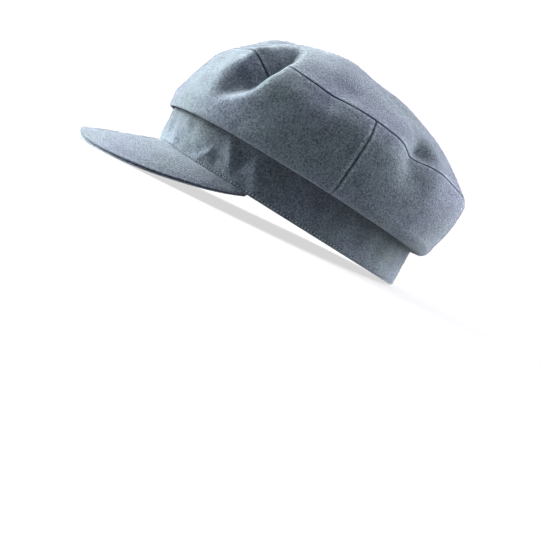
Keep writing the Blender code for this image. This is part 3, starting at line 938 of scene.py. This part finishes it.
def make_brim():
    """Two layers of cloth sewn together round the edge, which leaves a groove along it."""
    felt = material_felt("brim felt", BRIM_FELT)
    across = np.linspace(0.0, 1.0, BRIM_ROWS)
    bends = smooth((across - BRIM_DROOP_FROM) / (1 - BRIM_DROOP_FROM))
    turns = BRIM_SECTIONS[-1].angle * np.sin(np.linspace(-1.0, 1.0, BRIM_STEPS + 1) * math.pi / 2)
    loops = np.array([brim_loop(turn, across, bends) for turn in turns])
    # Painted light toward the brim's edge at its sides
    painted_tone = BRIM_PAINTED_LIGHT * smooth(np.abs(turns) / BRIM_PAINTED_LIGHT_ANGLE)[:, None] * np.insert(bends, 0, 0.0)
    # Painted shade in the edge's groove and painted light on the lower layer below it
    edge_tone = [[point.tone for point in BRIM_EDGE]] * len(turns)
    tone = np.concatenate([1 + painted_tone, edge_tone, np.ones_like(painted_tone)], axis=1)
    piece = loft("brim", loops, False, felt, tone)
    finish_piece(piece, "brim")
    outside = slice(1, 1 + BRIM_ROWS + len(BRIM_EDGE) // 2)
    make_nap("brim_nap", loops[:, outside][:, ::-1], tone[:, outside][:, ::-1], felt)


def finish_piece(piece, node):
    """Attach a piece to what it rides on and hide the solid it stands for."""
    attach(piece, "root")
    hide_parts(node)


def make_camera():
    turn, fall, roll = (math.radians(value) for value in (CAMERA_TURN, CAMERA_FALL, CAMERA_ROLL))
    aim = Vector((-math.sin(turn) * math.cos(fall), math.cos(turn) * math.cos(fall), -math.sin(fall)))
    look = aim.to_track_quat("-Z", "Y").to_matrix().to_4x4() @ Matrix.Rotation(roll, 4, "Z")
    camera = bpy.data.cameras.new("camera")
    camera.lens = CAMERA_LENS
    camera.sensor_width = CAMERA_SENSOR
    camera.clip_start = CAMERA_CLIP
    holder = bpy.data.objects.new("camera", camera)
    holder.matrix_world = resting_pose @ Matrix.Translation(CAMERA_PLACE) @ look
    bpy.context.scene.collection.objects.link(holder)
    bpy.context.scene.camera = holder


def make_light(light):
    lamp = bpy.data.lights.new(light.name, "AREA")
    lamp.shape = "DISK"
    lamp.size = light.size
    lamp.energy = light.power
    lamp.color = light.colour
    holder = bpy.data.objects.new(light.name, lamp)
    aim = Vector(LIGHT_TARGET) - Vector(light.place)
    holder.location = light.place
    holder.rotation_euler = aim.to_track_quat("-Z", "Y").to_euler()
    bpy.context.scene.collection.objects.link(holder)


def make_world():
    """White surroundings that light the cap from beyond it, and look even and white themselves."""
    world = bpy.data.worlds.new("studio")
    bpy.context.scene.world = world
    world.use_nodes = True
    tree = world.node_tree
    place = tree.nodes.new("ShaderNodeTexCoord")
    towards = tree.nodes.new("ShaderNodeVectorMath")
    towards.operation = "DOT_PRODUCT"
    towards.inputs[1].default_value = WORLD_TOWARDS
    tree.links.new(place.outputs["Generated"], towards.inputs[0])
    fade = eased(tree, towards.outputs["Value"], (WORLD_DARK_FROM, WORLD_BRIGHT_FROM),
                 (WORLD_DARK, WORLD_BRIGHT))
    rays = tree.nodes.new("ShaderNodeLightPath")
    seen = tree.nodes.new("ShaderNodeMix")
    seen.data_type = "FLOAT"
    seen.inputs["B"].default_value = WORLD_SEEN
    tree.links.new(rays.outputs["Is Camera Ray"], seen.inputs["Factor"])
    tree.links.new(fade, seen.inputs["A"])
    background = tree.nodes["Background"]
    background.inputs["Color"].default_value = WORLD_COLOUR
    tree.links.new(seen.outputs["Result"], background.inputs["Strength"])


def make_floor():
    """A pale floor, lit from within as a light table is, so that shadows on it stay soft. Its glow is dimmer
    near the cap, as a painted soft shadow.
    """
    mesh = bpy.data.meshes.new("floor")
    half = FLOOR_SIZE / 2
    corners = [(-half, -half, 0.0), (half, -half, 0.0), (half, half, 0.0), (-half, half, 0.0)]
    mesh.from_pydata(corners, [], [(0, 1, 2, 3)])
    material, tree, shader = new_material("floor", roughness=0.9, specular=0.0)
    shader.inputs["Base Color"].default_value = FLOOR_COLOUR
    shader.inputs["Emission Color"].default_value = FLOOR_GLOW_COLOUR
    place = tree.nodes.new("ShaderNodeTexCoord")
    distance = tree.nodes.new("ShaderNodeVectorMath")
    distance.operation = "LENGTH"
    tree.links.new(place.outputs["Object"], distance.inputs[0])
    # Dimmer glow near the cap: a painted soft shadow
    glow = eased(tree, distance.outputs["Value"], (FLOOR_GLOW_FROM, FLOOR_GLOW_TO),
                 (FLOOR_GLOW_NEAR_PAINTED_SHADOW, FLOOR_GLOW_AWAY))
    tree.links.new(glow, shader.inputs["Emission Strength"])
    mesh.materials.append(material)
    floor = bpy.data.objects.new("floor", mesh)
    bpy.context.scene.collection.objects.link(floor)


def rest():
    """How the cap rests: its frame's place and lean, from the head opening's mount."""
    mount = next(m for m in frame["record"]["mounts"] if m["name"] == "head_opening")
    lean = math.atan2(-mount["axis"][1], -mount["axis"][2])
    return Matrix.Translation(mount["pos_m"]) @ Matrix.Rotation(-lean, 4, "X")


resting_pose = rest()
make_camera()
make_crown()
make_band()
make_stitches()
make_brim()
make_world()
make_floor()
for light in LIGHTS:
    make_light(light)
bpy.context.scene.view_settings.view_transform = "Standard"
